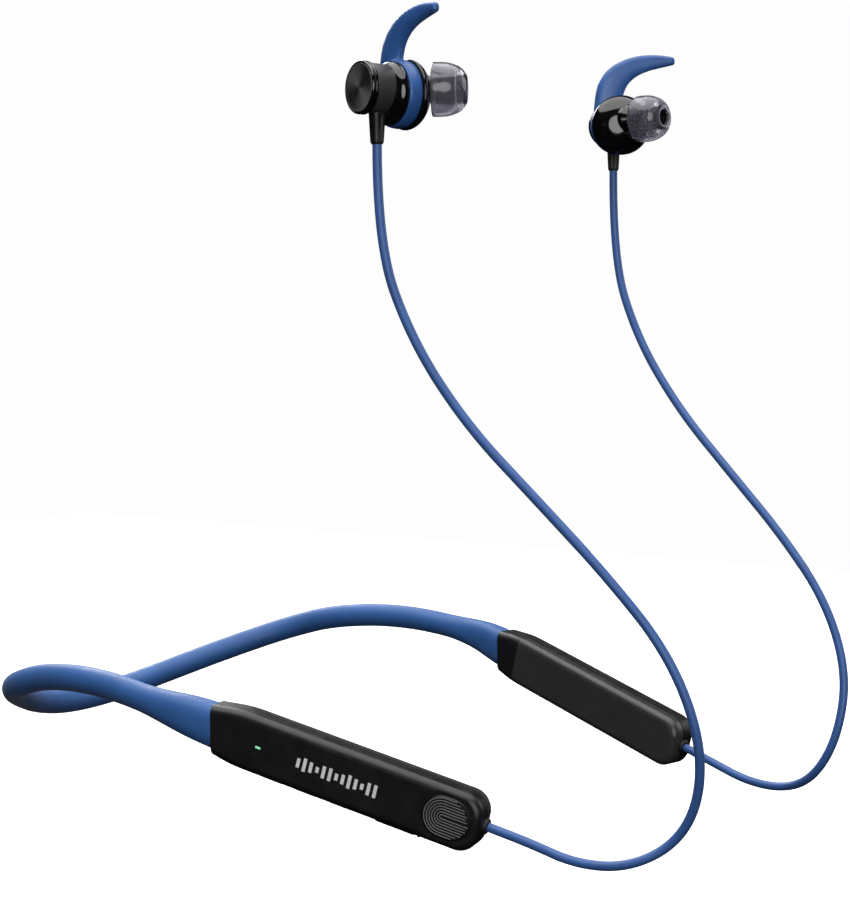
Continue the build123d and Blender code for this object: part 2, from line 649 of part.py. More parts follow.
def make_earbud(side):
    base = bud_plane(side)
    chamber = Plane(origin=base.origin - Vector(0, 0, CHAMBER_DROP), x_dir=base.x_dir,
                    z_dir=base.z_dir)
    half = profile_plane(base)
    chamber_half = profile_plane(chamber)
    axis = Axis(base.origin, base.z_dir)
    chamber_axis = Axis(chamber.origin, chamber.z_dir)

    with BuildPart() as cap:
        with BuildSketch(half):
            with BuildLine():
                Polyline((0.35, 0), (0.15, CAP_R - 1.2), (0, CAP_R - 0.9), (0, CAP_R - 0.35),
                         (0.35, CAP_R), (CAP_T - 0.3, CAP_R), (CAP_T, CAP_R - 0.3),
                         (CAP_T, BARREL_R - 0.6), (CAP_T + 0.6, BARREL_R - 0.6),
                         (CAP_T + 0.6, BARREL_BORE - 0.02), (CAP_T + 1.8, BARREL_BORE - 0.02),
                         (CAP_T + 1.8, 0), close=True)
            make_face()
        revolve(axis=axis)
    save(cap, f"earbud_cap_{side}")

    with BuildPart() as magnet:
        with BuildSketch(base.offset(CAP_T + 1.8)):
            Circle(BARREL_BORE - 0.3)
        extrude(amount=2.0)
    save(magnet, f"bud_magnet_{side}")

    with BuildPart() as barrel:
        with BuildSketch(base.offset(CAP_T + 0.6)):
            Circle(BARREL_R)
        extrude(amount=BARREL_END - CAP_T - 0.6)
        with BuildSketch(base.offset(BARREL_END)):
            Circle(BARREL_R)
        with BuildSketch(chamber.offset(CHAMBER_START)):
            Circle(CHAMBER_R)
        loft()
        with BuildSketch(chamber.offset(CHAMBER_START)):
            Circle(SEAT_R)
        extrude(amount=SEAT_END - CHAMBER_START)
        with BuildSketch(chamber.offset(CHAMBER_START)):
            Circle(CHAMBER_BORE)
        extrude(amount=SEAT_END - CHAMBER_START, mode=Mode.SUBTRACT)
        with BuildSketch(base.offset(CAP_T + 0.6)):
            Circle(BARREL_BORE)
        extrude(amount=CHAMBER_START - CAP_T - 0.6, mode=Mode.SUBTRACT)
        with BuildSketch(relief_plane(base)):
            Circle(STEM_R)
        extrude(amount=-BARREL_R, mode=Mode.SUBTRACT)
    save(barrel, f"earbud_barrel_{side}")

    with BuildPart() as driver:
        with BuildSketch(chamber.offset(CHAMBER_START + 0.4)):
            Circle(CHAMBER_BORE - 0.02)
        extrude(amount=1.6)
        with BuildSketch(chamber.offset(CHAMBER_START + 2.0)):
            Circle(CHAMBER_BORE - 0.6)
        extrude(amount=2.0)
    save(driver, f"speaker_driver_{side}")

    nozzle = nozzle_plane(side)
    with BuildPart() as front:
        with BuildSketch(chamber_half):
            with BuildLine():
                rim = Line((SEAT_END, 0), (SEAT_END, FRONT_R))
                EllipticalCenterArc((SEAT_END, 0), DOME_H, FRONT_R, 0, arc_size=90)
                Line((SEAT_END + DOME_H, 0), rim @ 0)
            make_face()
        revolve(axis=chamber_axis)
        with BuildSketch(profile_plane(nozzle)):
            with BuildLine():
                Polyline((1, 0), (1, 4.6), (3.4, 4.6), (5.6, 3.3), (TIP_START + 0.9, 3.1),
                         (TIP_START + 0.9, NOZZLE_R), (NOZZLE_L - 1.2, NOZZLE_R),
                         (NOZZLE_L - 0.6, NOZZLE_R), (NOZZLE_L, NOZZLE_R - 0.3),
                         (NOZZLE_L, 0), close=True)
            make_face()
        revolve(axis=Axis(nozzle.origin, nozzle.z_dir))
        with BuildSketch(chamber_half):
            with BuildLine():
                rim = Line((SEAT_END, 0), (SEAT_END, CHAMBER_BORE))
                EllipticalCenterArc((SEAT_END, 0), DOME_H - 1.4, CHAMBER_BORE, 0, arc_size=90)
                Line((SEAT_END + DOME_H - 1.4, 0), rim @ 0)
            make_face()
        revolve(axis=chamber_axis, mode=Mode.SUBTRACT)
        with BuildSketch(nozzle.offset(1.5)):
            Circle(NOZZLE_BORE)
        extrude(amount=NOZZLE_L, mode=Mode.SUBTRACT)
        split(bisect_by=chamber.offset(SEAT_END), keep=Keep.TOP)
    save(front, f"earbud_front_{side}")

    with BuildPart() as mesh:
        with BuildSketch(nozzle.offset(NOZZLE_L - 0.7)):
            Circle(NOZZLE_BORE)
        extrude(amount=0.3)
    save(mesh, f"nozzle_mesh_{side}")

    with BuildPart() as tip:
        with BuildSketch(profile_plane(nozzle)):
            with BuildLine():
                bore = Polyline((TIP_END, 1.9), (NOZZLE_L + 0.15, 1.9),
                                (NOZZLE_L + 0.15, NOZZLE_R + TIP_PLAY),
                                (TIP_START + 1.1, NOZZLE_R + TIP_PLAY),
                                (TIP_START + 1.1, 3.7), (TIP_END - 4.0, 3.8),
                                (TIP_START + 3.4, 4.8), (TIP_START, TIP_R - 0.7),
                                (TIP_START, TIP_R))
                Spline(bore @ 1, (TIP_START + 3.5, TIP_R - 0.15), (TIP_END - 1.6, TIP_R - 1.3),
                       (TIP_END, 3.2), tangents=((1, 0), (-0.1, -1)))
                Line((TIP_END, 3.2), bore @ 0)
            make_face()
        revolve(axis=Axis(nozzle.origin, nozzle.z_dir))
    save(tip, f"ear_tip_{side}")

    make_wing(side, base, chamber)
    make_relief(side, base, barrel)


def make_wing(side, base, chamber):
    """A soft ring on the chamber with a curved fin that tucks into the ear."""
    ahead = -side_sign(side)
    outer = [(ahead * x, y) for x, y in FIN_OUTER]
    inner = [(ahead * x, y) for x, y in FIN_INNER]
    with BuildPart() as wing:
        with BuildSketch(chamber.offset(CHAMBER_START + 0.1)):
            Circle(RING_R)
        extrude(amount=SEAT_END - CHAMBER_START - 0.2)
        with BuildSketch(base.offset((CHAMBER_START + SEAT_END - FIN_T) / 2)):
            with BuildLine():
                Spline(*outer)
                ThreePointArc(outer[-1], (ahead * FIN_TIP[0], FIN_TIP[1]), inner[0])
                Spline(*inner)
                Polyline(inner[-1], (0, 0), outer[0])
            make_face()
        extrude(amount=FIN_T)
        with BuildSketch(chamber.offset(CHAMBER_START)):
            Circle(SEAT_R + TIP_PLAY)
        extrude(amount=SEAT_END - CHAMBER_START, mode=Mode.SUBTRACT)
    save(wing, f"ear_wing_{side}")


def relief_plane(base):
    """x along the housing, z down, origin on the barrel's axis above the cord."""
    return Plane(origin=base.origin + base.z_dir * RELIEF_AT, x_dir=base.z_dir, z_dir=(0, 0, -1))


def make_relief(side, base, barrel):
    down = relief_plane(base)
    with BuildPart() as relief:
        with BuildSketch(down.offset(BARREL_BORE + 0.1)):
            RectangleRounded(3.6, 3.6, 1.2)
        with BuildSketch(down.offset(AXIS_RISE - 1)):
            RectangleRounded(3.3, 3.3, 1.2)
        loft()
        with BuildSketch(down.offset(AXIS_RISE - 1)):
            RectangleRounded(3.3, 3.3, 1.2)
        with BuildSketch(down.offset(AXIS_RISE)):
            RectangleRounded(2.8, 2.8, 1.1)
        loft()
        with BuildSketch(down):
            Circle(AXIS_RISE)
            Circle(STEM_R, mode=Mode.SUBTRACT)
        extrude(amount=BARREL_BORE + 0.1, mode=Mode.SUBTRACT)
        add(barrel.part, mode=Mode.SUBTRACT)
    save(relief, f"strain_relief_{side}")


bosses = {"right": SCREWS_RIGHT, "left": SCREWS_LEFT}
board_top = {"right": BOARD_TOP, "left": BOARD_TOP_LEFT}

make_centre()
for side in ("right", "left"):
    make_arm_band(side)
    form = make_pod_form(side)
    room = make_pod_room(side)
    make_core_clamp(side)
    make_outer_shell(side, form, room)
    make_inner_shell(side, form, room, bosses[side], board_top[side] - BOARD_T)
    make_cord(side)
    make_earbud(side)
make_right_electronics()
make_controls()
make_port_cover()
make_left_electronics()
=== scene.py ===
import json
import math

import bmesh
import bpy
from mathutils import Matrix, Vector


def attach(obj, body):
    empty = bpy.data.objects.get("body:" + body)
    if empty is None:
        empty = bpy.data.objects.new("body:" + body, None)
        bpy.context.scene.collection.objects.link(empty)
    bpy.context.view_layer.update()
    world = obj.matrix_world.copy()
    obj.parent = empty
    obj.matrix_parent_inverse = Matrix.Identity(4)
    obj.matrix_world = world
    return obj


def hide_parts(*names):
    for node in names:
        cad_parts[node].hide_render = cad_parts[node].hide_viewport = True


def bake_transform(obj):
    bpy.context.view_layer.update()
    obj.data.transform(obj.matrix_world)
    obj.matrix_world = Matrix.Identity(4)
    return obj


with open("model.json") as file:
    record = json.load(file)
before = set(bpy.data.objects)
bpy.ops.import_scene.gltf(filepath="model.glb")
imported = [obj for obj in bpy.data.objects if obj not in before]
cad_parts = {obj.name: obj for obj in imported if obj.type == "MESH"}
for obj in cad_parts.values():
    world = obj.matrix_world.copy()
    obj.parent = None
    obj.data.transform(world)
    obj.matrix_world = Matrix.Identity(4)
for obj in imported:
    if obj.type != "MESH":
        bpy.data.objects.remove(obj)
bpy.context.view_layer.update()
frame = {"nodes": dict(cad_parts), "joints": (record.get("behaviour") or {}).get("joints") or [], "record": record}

MM = 0.001
UP = Vector((0, 0, 1))
SIDES = ("right", "left")
JOINTS = {joint["name"]: joint for joint in frame["joints"]}
ROUND = 96                      # points round a turned piece

# ---- camera: level with the earbuds, ahead of the wearer's right shoulder ----
CAMERA_PLACE = Vector((-0.4252, -0.4187, 0.1172))
CAMERA_AZIMUTH = math.radians(-55.47)
CAMERA_ELEVATION = math.radians(4.0)
CAMERA_LENS = 74.28
FLOOR_Z = -0.0172

# ---- routes, right-hand side, from part.py ----
BAND_ROUTE = [
    (0, 0.0036, 0), (-0.009, 0.0036, 0), (-0.0255, -0.0015, 0.0035), (-0.0402, -0.0103, 0.0086),
    (-0.0527, -0.0199, 0.0134), (-0.061, -0.03, 0.0176), (-0.0648, -0.046, 0.0223),
    (-0.0692, -0.07, 0.024), (-0.0719, -0.0958, 0.0206), (-0.0688, -0.1087, 0.0171),
]
BAND_R = 0.0036
FLARE_LENGTH = 0.026
FLARE_HALF_H, FLARE_HALF_W = 0.0056, 0.0043
CUT_AHEAD = 0.0016              # the sleeve ends on an upright cut this far past the last bend

CORD_ROUTE = [
    (-0.051776, -0.180141, -0.002154), (-0.049533, -0.18955, -0.004689),
    (-0.048, -0.2017, -0.0084), (-0.0455, -0.2142, -0.0079), (-0.0405, -0.2242, -0.0019),
    (-0.0405, -0.2302, 0.0096), (-0.0435, -0.2312, 0.0256), (-0.046, -0.2242, 0.0436),
    (-0.049, -0.2102, 0.0601), (-0.0515, -0.1932, 0.0766), (-0.0545, -0.1757, 0.0936),
    (-0.0565, -0.1612, 0.1136), (-0.058, -0.1522, 0.1366),
]
CORD_END = {"right": (-0.058, -0.1522, 0.1602), "left": (-0.058, -0.1522, 0.1617)}
CORD_D = 0.0023

# ---- the small pieces, in millimetres ----
BARS, BARS_START, BAR_PITCH = 13, 26.5, 1.75
LOOPS, LOOP_PITCH, LOOP_CENTRE = 7, 0.68, -1.1
LOOP_REACH = 4.75               # the loops' legs end on a circle of this radius
DOME_START, DOME_RISE, DOME_WIDE = 2.05, 4.68, 8.45
RING_BORE = 7.08
TIP_MOUTH, TIP_BORE = 1.95, 2.66

# The fin seen along the housing: forward, up, about the barrel's axis.
FIN_OUTER = [
    (-7.4, 3.2), (-7.1, 7.2), (-6.2, 11.3), (-3.6, 15.1), (1.6, 18), (6.8, 19.2), (12, 19.3),
    (15.4, 18.8),
]
FIN_INNER = [
    (0.9, 6.6), (1.4, 8.8), (2.7, 11.2), (5.1, 13.2), (8.2, 14.6), (12, 15.6), (15.4, 16.4),
]
FIN_RISE = 0.9                  # the barrel's axis lies this far above the chamber's
FIN_STEPS = 44


# ---- camera ----

def make_camera():
    camera = bpy.data.objects.new("camera", bpy.data.cameras.new("camera"))
    camera.location = CAMERA_PLACE
    camera.rotation_euler = (math.pi / 2 - CAMERA_ELEVATION, 0, CAMERA_AZIMUTH)
    camera.data.lens = CAMERA_LENS
    camera.data.clip_start = 0.01
    bpy.context.scene.collection.objects.link(camera)
    bpy.context.scene.camera = camera


# ---- materials ----

def new_material(name, colour, roughness, metallic=0.0, **sockets):
    """A material whose constant values sit on the shader's own sockets."""
    material = bpy.data.materials.new(name)
    material.use_nodes = True
    shader = material.node_tree.nodes["Principled BSDF"]
    shader.inputs["Base Color"].default_value = (*colour, 1)
    shader.inputs["Roughness"].default_value = roughness
    shader.inputs["Metallic"].default_value = metallic
    for socket, value in sockets.items():
        shader.inputs[socket.replace("_", " ")].default_value = value
    return material


def node(material, kind, inputs=(), **settings):
    """Adds a node, sets its properties, and fills its inputs with values or other sockets."""
    added = material.node_tree.nodes.new(kind)
    for name, value in settings.items():
        setattr(added, name, value)
    for key, value in dict(inputs).items():
        if isinstance(value, bpy.types.NodeSocket):
            material.node_tree.links.new(value, added.inputs[key])
        else:
            added.inputs[key].default_value = value
    return added


def shader_link(material, socket, source):
    shader = material.node_tree.nodes["Principled BSDF"]
    material.node_tree.links.new(source, shader.inputs[socket])


def noise(material, size, detail=2.0, stretch=(1, 1, 1)):
    """Noise with features of the given size in millimetres, stretched per axis."""
    place = node(material, "ShaderNodeTexCoord").outputs["Object"]
    scaled = node(material, "ShaderNodeMapping", {"Vector": place, "Scale": stretch})
    texture = node(material, "ShaderNodeTexNoise",
                   {"Vector": scaled.outputs["Vector"], "Scale": 1 / (size * MM), "Detail": detail})
    return texture.outputs["Fac"]


def span(material, source, low, high):
    """Maps a texture's middle range to low..high."""
    mapped = node(material, "ShaderNodeMapRange",
                  {"Value": source, "From Min": 0.3, "From Max": 0.7,
                   "To Min": low, "To Max": high})
    return mapped.outputs["Result"]


def vary_colour(material, source, dark, light):
    """The base colour drifts between a darker and a lighter tone of itself."""
    shader = material.node_tree.nodes["Principled BSDF"]
    colour = shader.inputs["Base Color"].default_value[:3]
    mix = node(material, "ShaderNodeMix", {"Factor": span(material, source, 0, 1)},
               data_type="RGBA")
    mix.inputs["A"].default_value = (*(c * dark for c in colour), 1)
    mix.inputs["B"].default_value = (*(min(1, c * light) for c in colour), 1)
    shader_link(material, "Base Color", mix.outputs["Result"])


def bump(material, source, height):
    """Raises the surface by height in millimetres where the source is white."""
    bumped = node(material, "ShaderNodeBump",
                  {"Height": source, "Distance": height * MM, "Strength": 1.0})
    shader_link(material, "Normal", bumped.outputs["Normal"])


def grained(name, colour, roughness, grain, height, drift=14, uneven=0.06, **sockets):
    """A moulded surface: fine grain, a slow drift of tone, and roughness that wanders a little."""
    material = new_material(name, colour, roughness, **sockets)
    slow = noise(material, drift, 3)
    vary_colour(material, slow, 0.9, 1.1)
    worn = noise(material, drift / 4, 4)
    shader_link(material, "Roughness", span(material, worn, roughness - uneven, roughness + uneven))
    bump(material, noise(material, grain, 2), height)
    return material


def spun_metal(name, colour, roughness):
    """Turned on a lathe: fine rings about the piece's own z axis, and a radial sheen."""
    material = new_material(name, colour, roughness, 1.0, Anisotropic=0.55)
    place = node(material, "ShaderNodeTexCoord").outputs["Object"]
    rings = node(material, "ShaderNodeTexWave",
                 {"Vector": place, "Scale": 1 / (1.2 * MM), "Distortion": 0.15, "Detail": 1.0},
                 wave_type="RINGS", rings_direction="Z")
    vary_colour(material, rings.outputs["Fac"], 0.85, 1.15)
    bump(material, rings.outputs["Fac"], 0.002)
    tangent = node(material, "ShaderNodeTangent", direction_type="RADIAL", axis="Z")
    shader_link(material, "Tangent", tangent.outputs["Tangent"])
    return material


def brushed_metal(name, colour, roughness):
    material = new_material(name, colour, roughness, 1.0)
    lines = noise(material, 0.25, 3, (1, 1, 0.05))
    shader_link(material, "Roughness", span(material, lines, roughness - 0.08, roughness + 0.12))
    vary_colour(material, lines, 0.85, 1.1)
    bump(material, lines, 0.004)
    return material


def board_laminate():
    """Green solder mask with faint copper runs under it."""
    material = grained("board_laminate", (0.01, 0.11, 0.045), 0.35, 0.3, 0.01)
    place = node(material, "ShaderNodeTexCoord").outputs["Object"]
    runs = node(material, "ShaderNodeTexBrick",
                {"Vector": place, "Scale": 1 / (9 * MM), "Mortar Size": 0.03,
                 "Color1": (0.01, 0.1, 0.04, 1), "Color2": (0.012, 0.12, 0.05, 1),
                 "Mortar": (0.05, 0.2, 0.07, 1)})
    shader_link(material, "Base Color", runs.outputs["Color"])
    return material


def woven_mesh():
    """Fine wire gauze: two crossed waves, darkened between the wires as painted shade for the openings."""
    material = new_material("mesh_metal", (0.25, 0.25, 0.26), 0.4, 1.0)
    place = node(material, "ShaderNodeTexCoord").outputs["Object"]
    waves = []
    for direction in ("X", "Z"):
        wave = node(material, "ShaderNodeTexWave", {"Vector": place, "Scale": 1 / (1.6 * MM)},
                    bands_direction=direction)
        waves.append(wave.outputs["Fac"])
    both = node(material, "ShaderNodeMath", {0: waves[0], 1: waves[1]}, operation="MULTIPLY")
    # Between the wires the colour drops to a tenth: painted shade for the openings of the gauze.
    vary_colour(material, both.outputs["Value"], 0.1, 1.2)
    bump(material, both.outputs["Value"], 0.05)
    return material


def ear_tip_silicone():
    """Clear smoky silicone, thin enough to see the nozzle through."""
    material = new_material("tip_silicone", (0.34, 0.33, 0.385), 0.2, IOR=1.41,
                            Transmission_Weight=0.88, Coat_Weight=0.3, Coat_Roughness=0.1)
    cloud = noise(material, 3, 2)
    vary_colour(material, cloud, 0.85, 1.0)
    shader_link(material, "Roughness", span(material, cloud, 0.08, 0.18))
    bump(material, noise(material, 0.4, 1), 0.004)
    return material


def light_pipe():
    material = new_material("status_light", (0.4, 0.85, 0.6), 0.3, Emission_Strength=0.35,
                            Emission_Color=(0.3, 1.0, 0.55, 1))
    glow = noise(material, 0.6, 1)
    vary_colour(material, glow, 0.8, 1.0)
    shader_link(material, "Roughness", span(material, glow, 0.2, 0.4))
    return material


def make_materials():
    plain = {
        "sleeve_silicone": grained("sleeve_silicone", (0.034, 0.118, 0.35), 0.5, 0.22, 0.006,
                                   Sheen_Weight=0.12, Sheen_Roughness=0.4, Specular_IOR_Level=0.4),
        "cord_jacket": grained("cord_jacket", (0.042, 0.116, 0.35), 0.45, 0.35, 0.008, drift=9,
                               Sheen_Weight=0.1, Sheen_Roughness=0.4),
        "wing_silicone": grained("wing_silicone", (0.034, 0.112, 0.35), 0.38, 0.25, 0.005, drift=5),
        "pod_plastic": grained("pod_plastic", (0.009, 0.009, 0.0095), 0.4, 0.16, 0.006),
        # The inner halves' lighter grey is painted light: it stands in for the strip along the pods' tops that the
        # overhead lamp lights. The lower roughness is real.
        "inner_shell_smooth_painted_light": grained("inner_shell_smooth_painted_light", (0.04, 0.04, 0.041), 0.32, 0.2,
                                       0.004),
        "key_plastic": grained("key_plastic", (0.0105, 0.0105, 0.011), 0.38, 0.16, 0.006),
        "inner_plastic": grained("inner_plastic", (0.06, 0.06, 0.06), 0.5, 0.2, 0.01),
        "lead_insulation": grained("lead_insulation", (0.02, 0.02, 0.02), 0.45, 0.3, 0.01),
        "chip_package": grained("chip_package", (0.015, 0.015, 0.016), 0.6, 0.1, 0.006),
        "battery_wrap": grained("battery_wrap", (0.03, 0.06, 0.12), 0.3, 1.5, 0.05, drift=6),
        "soft_black_rubber": grained("soft_black_rubber", (0.01, 0.01, 0.01), 0.5, 0.2, 0.008),
        "barrel_finish": grained("barrel_finish", (0.038, 0.038, 0.039), 0.45, 0.1, 0.004, drift=3,
                                 Coat_Weight=0.15, Coat_Roughness=0.25),
        "gloss_black": grained("gloss_black", (0.004, 0.004, 0.0045), 0.1, 2.5, 0.008, uneven=0.03,
                               Coat_Weight=0.5, Coat_Roughness=0.04),
        "print_grey": grained("print_grey", (0.8, 0.8, 0.8), 0.5, 0.08, 0.003, drift=2),
        "ridge_grey": grained("ridge_grey", (0.2, 0.2, 0.205), 0.4, 0.08, 0.003, drift=2),
        "tip_core": grained("tip_core", (0.02, 0.019, 0.032), 0.3, 0.3, 0.004, drift=3),
    }
    for name, colour, roughness in (
        ("spring_steel", (0.55, 0.55, 0.57), 0.3), ("steel", (0.6, 0.6, 0.62), 0.28),
        ("magnet_metal", (0.6, 0.6, 0.6), 0.18), ("driver_metal", (0.5, 0.5, 0.5), 0.35),
    ):
        plain[name] = brushed_metal(name, colour, roughness)
    plain["cap_metal"] = spun_metal("cap_metal", (0.4, 0.4, 0.405), 0.45)
    plain["board_laminate"] = board_laminate()
    plain["mesh_metal"] = woven_mesh()
    plain["tip_silicone"] = ear_tip_silicone()
    plain["status_light"] = light_pipe()
    return plain


def paint_frame():
    """Every CAD node takes the material of its record slot; the pods' inner halves are smoother, and their lighter
    grey is painted light for the lit strip along the pods' tops.
    """
    for part in frame["record"]["subparts"]:
        obj = frame["nodes"][part["node"]]
        name = part["material_slot"]
        # The inner halves take the lighter grey that paints in the light on the pods' top strip.
        if part["node"].startswith("pod_inner_shell"):
            name = "inner_shell_smooth_painted_light"
        obj.data.materials.clear()
        obj.data.materials.append(MATERIALS[name])


# ---- mesh work ----

def add_object(name, data, material):
    obj = bpy.data.objects.new(name, data)
    bpy.context.scene.collection.objects.link(obj)
    data.materials.append(material)
    return obj


def mesh_from(name, form, material):
    """Finishes a bmesh as an object, normals outwards."""
    bmesh.ops.recalc_face_normals(form, faces=form.faces)
    mesh = bpy.data.meshes.new(name)
    form.to_mesh(mesh)
    form.free()
    return add_object(name, mesh, material)


def skin(form, rings, closed=False):
    """Faces through rings of points; closed joins the last ring to the first, or else both ends
    are capped with a crisp edge."""
    rows = [[form.verts.new(point) for point in ring] for ring in rings]
    following = rows[1:] + rows[:1] if closed else rows[1:]
    for row, after in zip(rows, following):
        for i, vert in enumerate(row):
            j = (i + 1) % len(row)
            form.faces.new((vert, row[j], after[j], after[i])).smooth = True
    if not closed:
        for row in (rows[0], rows[-1]):
            for edge in form.faces.new(row).edges:
                edge.smooth = False


def circle(radius, height):
    """A level ring of points about z."""
    turns = [2 * math.pi * i / ROUND for i in range(ROUND)]
    return [Vector((radius * math.cos(turn), radius * math.sin(turn), height)) for turn in turns]


def rounded(points, reach, steps=6, closed=True):
    """The outline with each corner turned into a small curve that starts reach before it."""
    points = [Vector(point) for point in points]
    result = []
    for i, corner in enumerate(points):
        if not closed and i in (0, len(points) - 1):
            result.append(corner)
            continue
        ends = []
        for other in (points[i - 1], points[(i + 1) % len(points)]):
            run = other - corner
            ends.append(corner + run.normalized() * min(reach, 0.48 * run.length))
        for k in range(steps + 1):
            t = k / steps
            result.append((1 - t) ** 2 * ends[0] + 2 * t * (1 - t) * corner + t ** 2 * ends[1])
    return result


def turned(name, profile, place, material, closed=True):
    """A turned piece: profile is (along the axis, radius) in millimetres."""
    form = bmesh.new()
    skin(form, [circle(radius * MM, along * MM) for along, radius in profile], closed)
    obj = mesh_from(name, form, material)
    obj.matrix_world = place
    return obj


def spline_line(points, steps):
    """Points along the smooth spline that the control points steer."""
    curve = bpy.data.curves.new("line", "CURVE")
    fill_spline(curve, points, steps)
    holder = bpy.data.objects.new("line", curve)
    mesh = bpy.data.meshes.new_from_object(holder)
    line = [vertex.co.copy() for vertex in mesh.vertices]
    bpy.data.objects.remove(holder)
    return line


def fill_spline(curve, points, steps):
    curve.dimensions = "3D"
    curve.resolution_u = steps
    spline = curve.splines.new("NURBS")
    spline.points.add(len(points) - 1)
    for control, point in zip(spline.points, points):
        control.co = (*point, 1)
    spline.order_u = 3
    spline.use_endpoint_u = True


def smoothstep(t):
    t = min(1, max(0, t))
    return t * t * (3 - 2 * t)


def superellipse(turn, power):
    """A point on a unit square with very round corners: power 2 is a circle."""
    c, s = math.cos(turn), math.sin(turn)
    return (math.copysign(abs(c) ** (2 / power), c), math.copysign(abs(s) ** (2 / power), s))


# ---- places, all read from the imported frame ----

def side_sign(side):
    return 1 if side == "right" else -1


def mirrored(points, side):
    return [(x * side_sign(side), y, z) for x, y, z in points]


def joint_axis(name):
    return Vector(JOINTS[name]["axis"]).normalized()


def reach(node_name, axis):
    """How far a CAD node reaches along a direction: lowest and highest."""
    places = [vertex.co.dot(axis) for vertex in frame["nodes"][node_name].data.vertices]
    return min(places), max(places)


def axis_place(node_name, axis):
    """Origin at the low end of a round node's axis, z along it, y upright."""
    across = UP.cross(axis).normalized()
    origin = axis * reach(node_name, axis)[0]
    for direction in (UP, across):
        origin += direction * sum(reach(node_name, direction)) / 2
    place = Matrix((across, UP, axis)).transposed().to_4x4()
    place.translation = origin
    return place


def pod_place(side):
    """x along the pod to its front end, z out of its outer face, y nearly upright,
    origin at the neck on the pod's middle plane."""
    out = -joint_axis("function_pad_press")
    up = joint_axis("power_key_press")
    out.x *= side_sign(side)
    up.x *= side_sign(side)
    along = up.cross(out) * side_sign(side)
    origin = Vector(mirrored([BAND_ROUTE[-1]], side)[0])
    place = Matrix((along, up, out)).transposed().to_4x4()
    place.translation = origin
    return place


# ---- band ----

def make_sleeve(side):
    """Half of the band: round at the nape, flaring to meet the pod on an upright cut."""
    pod_along = pod_place(side).col[0].to_3d()
    route = [Vector(point) for point in mirrored(BAND_ROUTE, side)]
    line = spline_line(route + [route[-1] + pod_along * CUT_AHEAD], 26)
    cut = Vector((pod_along.x, pod_along.y, 0)).normalized()
    end = line[-1]
    left = [0]
    for before, after in zip(line[::-1], line[-2::-1]):
        left.append(left[-1] + (after - before).length)
    left.reverse()
    rings = []
    for i, centre in enumerate(line):
        ahead = (line[min(i + 1, len(line) - 1)] - line[max(i - 1, 0)]).normalized()
        across = ahead.cross(UP).normalized()
        up = across.cross(ahead)
        flare = smoothstep(1 - left[i] / FLARE_LENGTH)
        half_w = BAND_R + (FLARE_HALF_W - BAND_R) * flare
        half_h = BAND_R + (FLARE_HALF_H - BAND_R) * flare
        power = 2 + 0.7 * flare
        lean = smoothstep(1 - left[i] / (0.7 * FLARE_LENGTH))
        ring = []
        for k in range(ROUND):
            x, y = superellipse(2 * math.pi * k / ROUND, power)
            point = centre + across * (x * half_w) + up * (y * half_h)
            point += ahead * (lean * (centre - point).dot(cut) / ahead.dot(cut))
            ring.append(point)
        rings.append(ring)
    rings.append([point.lerp(end, 0.04) + pod_along * 0.00012 for point in rings[-1]])
    form = bmesh.new()
    skin(form, rings)
    sleeve = mesh_from(f"band_half_{side}", form, MATERIALS["sleeve_silicone"])
    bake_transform(sleeve)
    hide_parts(f"band_sleeve_{side}")
    if side == "right":
        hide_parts("band_sleeve_centre")


# ---- cords ----

def make_cord(side):
    route = mirrored([*CORD_ROUTE, CORD_END[side]], side)
    curve = bpy.data.curves.new(f"earphone_lead_{side}", "CURVE")
    fill_spline(curve, route, 20)
    curve.bevel_depth = CORD_D / 2
    curve.bevel_resolution = 10
    curve.use_fill_caps = True
    lead = add_object(f"earphone_lead_{side}", curve, MATERIALS["cord_jacket"])
    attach(lead, f"{side}_arm")
    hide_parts(f"earphone_cord_{side}")


# ---- pod graphics ----

def ribbon(form, points, width, height, place):
    """A flat printed line, or a low ridge, along points (x, y) on a face, in millimetres."""
    rings = []
    for i, point in enumerate(points):
        ahead = (points[min(i + 1, len(points) - 1)] - points[max(i - 1, 0)]).normalized()
        aside = Vector((-ahead.y, ahead.x)) * width / 2
        corners = (point - aside, point + aside)
        low = [place @ Vector((*(corner * MM), -0.005 * MM)) for corner in corners]
        high = [place @ Vector((*((point + (corner - point) * 0.85) * MM), height * MM))
                for corner in corners[::-1]]
        rings.append(low + high)
    skin(form, rings)


def make_level_bars():
    """A plain row of level bars, printed on the right pod's face."""
    place = pod_place("right")
    face = reach("pod_outer_shell_right", place.col[2].to_3d())[1]
    place.translation += place.col[2].to_3d() * (face - place.translation.dot(place.col[2].to_3d()))
    form = bmesh.new()
    for i in range(BARS):
        x = BARS_START + BAR_PITCH * i
        half = 0.55 + 1.15 * abs(math.sin(0.9 * i + 0.6))
        steps = [Vector((x, -half + 2 * half * k / 8)) for k in range(9)]
        ribbon(form, steps, 0.95, 0.02, place)
    bars = mesh_from("level_bars", form, MATERIALS["print_grey"])
    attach(bars, "right_arm")


def make_touch_rings():
    """Nested open loops, low ridges on the function pad that a finger can feel."""
    pod = pod_place("right")
    out = pod.col[2].to_3d()
    place = pod.copy()
    place.translation = out * reach("function_pad", out)[1]
    for column in (0, 1):
        direction = pod.col[column].to_3d()
        place.translation += direction * sum(reach("function_pad", direction)) / 2
    form = bmesh.new()
    for i in range(LOOPS):
        radius = 0.5 + LOOP_PITCH * i
        leg = -LOOP_CENTRE + math.sqrt(LOOP_REACH ** 2 - radius ** 2) - 0.35 * (i % 2)
        bend = 6 + 4 * i
        points = [Vector((leg, -radius))]
        for k in range(bend + 1):
            turn = math.radians(270 - 180 * k / bend)
            points.append(Vector((LOOP_CENTRE + radius * math.cos(turn), radius * math.sin(turn))))
        points.append(Vector((leg - 0.5, radius)))
        ribbon(form, points, 0.24, 0.05, place)
    rings = mesh_from("touch_rings", form, MATERIALS["ridge_grey"])
    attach(rings, "function_pad")


# ---- earbuds ----

